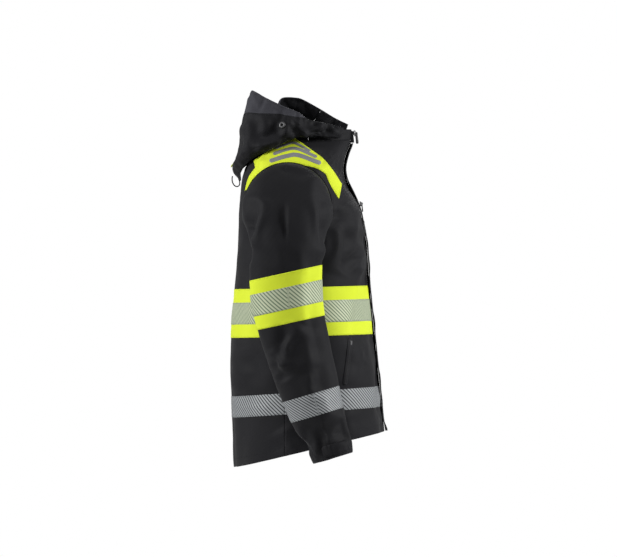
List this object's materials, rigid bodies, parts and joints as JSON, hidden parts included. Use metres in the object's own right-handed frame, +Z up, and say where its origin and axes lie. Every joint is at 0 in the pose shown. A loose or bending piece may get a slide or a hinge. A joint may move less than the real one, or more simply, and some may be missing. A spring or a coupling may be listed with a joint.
{
  "type": "hooded work coat",
  "caption": "Hooded high-visibility work coat with full-length zip and storm flap, reflective bands, chest and hand pockets, and adjustable cuffs.",
  "frame": {"origin": "between the shoulders at the base of the neck, midway between left and right", "axes": "+Z up, -Y to the wearer's front, +X to the wearer's left"},
  "size_m": [0.7556, 0.3734, 0.9049],
  "materials": {
    "shell_fabric": "matt woven",
    "brim_fabric": "matt woven",
    "yellow_fabric": "fluorescent woven",
    "reflective_tape": "satin beaded",
    "black_plastic": "moulded",
    "dark_metal": "satin",
    "elastic": "braided"
  },
  "bodies": {
    "torso": {"back_panel": "shell_fabric", "right_side_panel": "shell_fabric", "left_side_panel": "shell_fabric", "back_upper_band": "yellow_fabric", "back_upper_tape": "reflective_tape", "back_lower_tape": "reflective_tape", "collar_back": "shell_fabric", "hang_loop": "elastic", "right_shoulder_yoke": "yellow_fabric", "right_shoulder_bar_1": "reflective_tape", "right_shoulder_bar_2": "reflective_tape", "right_shoulder_bar_3": "reflective_tape", "right_pocket_zip": "black_plastic", "left_shoulder_yoke": "yellow_fabric", "left_shoulder_bar_1": "reflective_tape", "left_shoulder_bar_2": "reflective_tape", "left_shoulder_bar_3": "reflective_tape", "left_pocket_zip": "black_plastic"},
    "right_front": {"right_front_panel": "shell_fabric", "right_collar_front": "shell_fabric", "right_upper_band": "yellow_fabric", "right_upper_tape": "reflective_tape", "right_lower_tape": "reflective_tape", "right_zip_half": "black_plastic", "right_chest_zip": "black_plastic"},
    "right_sleeve": {"right_upper_sleeve": "shell_fabric", "right_sleeve_band": "yellow_fabric", "right_sleeve_band_tape": "reflective_tape", "right_elbow_gusset": "shell_fabric"},
    "right_forearm": {"right_forearm": "shell_fabric", "right_forearm_tape": "reflective_tape"},
    "right_cuff_tab": {"right_cuff_tab": "shell_fabric"},
    "right_chest_slider": {"right_chest_slider": "dark_metal"},
    "right_pocket_slider": {"right_pocket_slider": "dark_metal"},
    "left_front": {"left_front_panel": "shell_fabric", "left_collar_front": "shell_fabric", "left_upper_band": "yellow_fabric", "left_upper_tape": "reflective_tape", "left_lower_tape": "reflective_tape", "left_zip_half": "black_plastic", "left_chest_zip": "black_plastic"},
    "left_sleeve": {"left_upper_sleeve": "shell_fabric", "left_sleeve_band": "yellow_fabric", "left_sleeve_band_tape": "reflective_tape", "left_elbow_gusset": "shell_fabric"},
    "left_forearm": {"left_forearm": "shell_fabric", "left_forearm_tape": "reflective_tape"},
    "left_cuff_tab": {"left_cuff_tab": "shell_fabric"},
    "left_chest_slider": {"left_chest_slider": "dark_metal"},
    "left_pocket_slider": {"left_pocket_slider": "dark_metal"},
    "storm_flap": {"storm_flap": "shell_fabric"},
    "zip_slider": {"zip_slider": "dark_metal"},
    "zip_puller": {"zip_puller": "black_plastic"},
    "hood": {"hood_shell": "shell_fabric", "hood_brim": "brim_fabric", "hood_nape_panel": "shell_fabric", "right_hood_adjuster": "black_plastic", "left_hood_adjuster": "black_plastic", "hood_tab": "yellow_fabric", "hood_rear_cord": "elastic"}
  },
  "joints": [
    {"name": "left_front_turn", "type": "hinge", "parent": "torso", "child": "left_front", "pos_m": [0.058, -0.148, 0.03], "axis": [-0.212, 0.0893, 0.9732], "range_deg": [0, 40]},
    {"name": "right_front_turn", "type": "hinge", "parent": "torso", "child": "right_front", "pos_m": [-0.058, -0.148, 0.03], "axis": [-0.212, -0.0893, -0.9732], "range_deg": [0, 40]},
    {"name": "storm_flap_turn", "type": "hinge", "parent": "left_front", "child": "storm_flap", "pos_m": [0.0221, -0.19426, -0.33326], "axis": [0, 0.1, 0.995], "range_deg": [0, 110]},
    {"name": "zip_slide", "type": "slide", "parent": "right_front", "child": "zip_slider", "axis": [0, -0.1, -0.995], "range_m": [0, 0.685]},
    {"name": "zip_puller_swing", "type": "hinge", "parent": "zip_slider", "child": "zip_puller", "pos_m": [0, -0.15622, 0.0192], "axis": [-1, 0, 0], "range_deg": [0, 100]},
    {"name": "hood_lift", "type": "hinge", "parent": "torso", "child": "hood", "pos_m": [0, -0.128, 0.006], "axis": [1, 0, 0], "range_deg": [0, 55], "deforming": ["hood_nape_panel"]},
    {"name": "right_shoulder_swing", "type": "hinge", "parent": "torso", "child": "right_sleeve", "pos_m": [-0.212, 0.005, -0.161], "axis": [-1, 0, 0], "range_deg": [-20, 70]},
    {"name": "right_elbow_bend", "type": "hinge", "parent": "right_sleeve", "child": "right_forearm", "pos_m": [-0.313, -0.024, -0.494], "axis": [-1, 0, 0], "range_deg": [0, 70], "deforming": ["right_elbow_gusset"]},
    {"name": "right_cuff_tab_lift", "type": "hinge", "parent": "right_forearm", "child": "right_cuff_tab", "pos_m": [-0.3778, -0.07824, -0.74753], "axis": [0, -0.284, -0.9588], "range_deg": [0, 80]},
    {"name": "left_shoulder_swing", "type": "hinge", "parent": "torso", "child": "left_sleeve", "pos_m": [0.212, 0.005, -0.161], "axis": [-1, 0, 0], "range_deg": [-20, 70]},
    {"name": "left_elbow_bend", "type": "hinge", "parent": "left_sleeve", "child": "left_forearm", "pos_m": [0.313, -0.024, -0.494], "axis": [-1, 0, 0], "range_deg": [0, 70], "deforming": ["left_elbow_gusset"]},
    {"name": "left_cuff_tab_lift", "type": "hinge", "parent": "left_forearm", "child": "left_cuff_tab", "pos_m": [0.3778, -0.07824, -0.74753], "axis": [0, 0.284, 0.9588], "range_deg": [0, 80]},
    {"name": "right_chest_slide", "type": "slide", "parent": "right_front", "child": "right_chest_slider", "axis": [0, -0.1, -0.995], "range_m": [0, 0.1]},
    {"name": "left_chest_slide", "type": "slide", "parent": "left_front", "child": "left_chest_slider", "axis": [0, -0.1, -0.995], "range_m": [-0.044, 0.056]},
    {"name": "right_pocket_slide", "type": "slide", "parent": "torso", "child": "right_pocket_slider", "axis": [-0.1982, 0.1204, -0.9727], "range_m": [0, 0.08]},
    {"name": "left_pocket_slide", "type": "slide", "parent": "torso", "child": "left_pocket_slider", "axis": [0.1982, 0.1204, -0.9727], "range_m": [0, 0.08]}
  ],
  "couplings": [
    {"joint": "right_front_turn", "follows": "left_front_turn", "ratio": 1}
  ]
}
